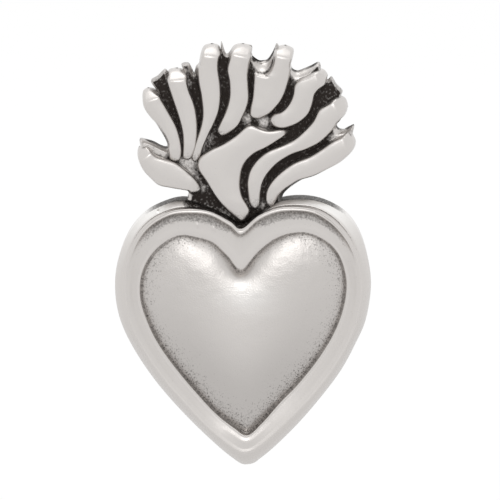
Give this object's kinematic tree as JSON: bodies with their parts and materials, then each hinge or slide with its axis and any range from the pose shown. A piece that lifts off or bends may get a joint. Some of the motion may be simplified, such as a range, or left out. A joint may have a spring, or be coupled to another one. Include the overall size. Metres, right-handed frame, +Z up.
{
  "type": "sacred heart milagro charm",
  "caption": "Antiqued silver milagro charm: a rimmed, puffed heart crowned with flames, alike on both sides and bored lengthwise for a cord.",
  "frame": {"origin": "middle of the stringing bore, halfway between the top notch and the heart's point", "axes": "+Z up along the bore towards the flames, -Y out of the front face, +X to the front's right"},
  "size_m": [0.0218, 0.0068, 0.0359],
  "materials": {
    "frame_silver": "satin cast silver with dark patina in the seam and along the outer groove",
    "heart_silver": "satin silver, polished on the crown and grainy with patina towards the seam",
    "flame_silver": "satin silver, worn bright on top and dark at the foot",
    "plate_silver": "deeply oxidised silver, nearly black, with worn light edges",
    "tube_silver": "drawn silver tube, oxidised inside"
  },
  "bodies": {
    "root": {"heart_frame": "frame_silver", "front_heart": "heart_silver", "back_heart": "heart_silver", "flame_plate": "plate_silver", "stringing_tube": "tube_silver", "front_flame_1": "flame_silver", "front_flame_2": "flame_silver", "front_flame_3": "flame_silver", "front_flame_4": "flame_silver", "front_flame_5": "flame_silver", "front_flame_6": "flame_silver", "front_flame_7": "flame_silver", "front_flame_8": "flame_silver", "front_flame_9": "flame_silver", "front_center_flame": "flame_silver", "back_flame_1": "flame_silver", "back_flame_2": "flame_silver", "back_flame_3": "flame_silver", "back_flame_4": "flame_silver", "back_flame_5": "flame_silver", "back_flame_6": "flame_silver", "back_flame_7": "flame_silver", "back_flame_8": "flame_silver", "back_flame_9": "flame_silver", "back_center_flame": "flame_silver"}
  },
  "joints": []
}
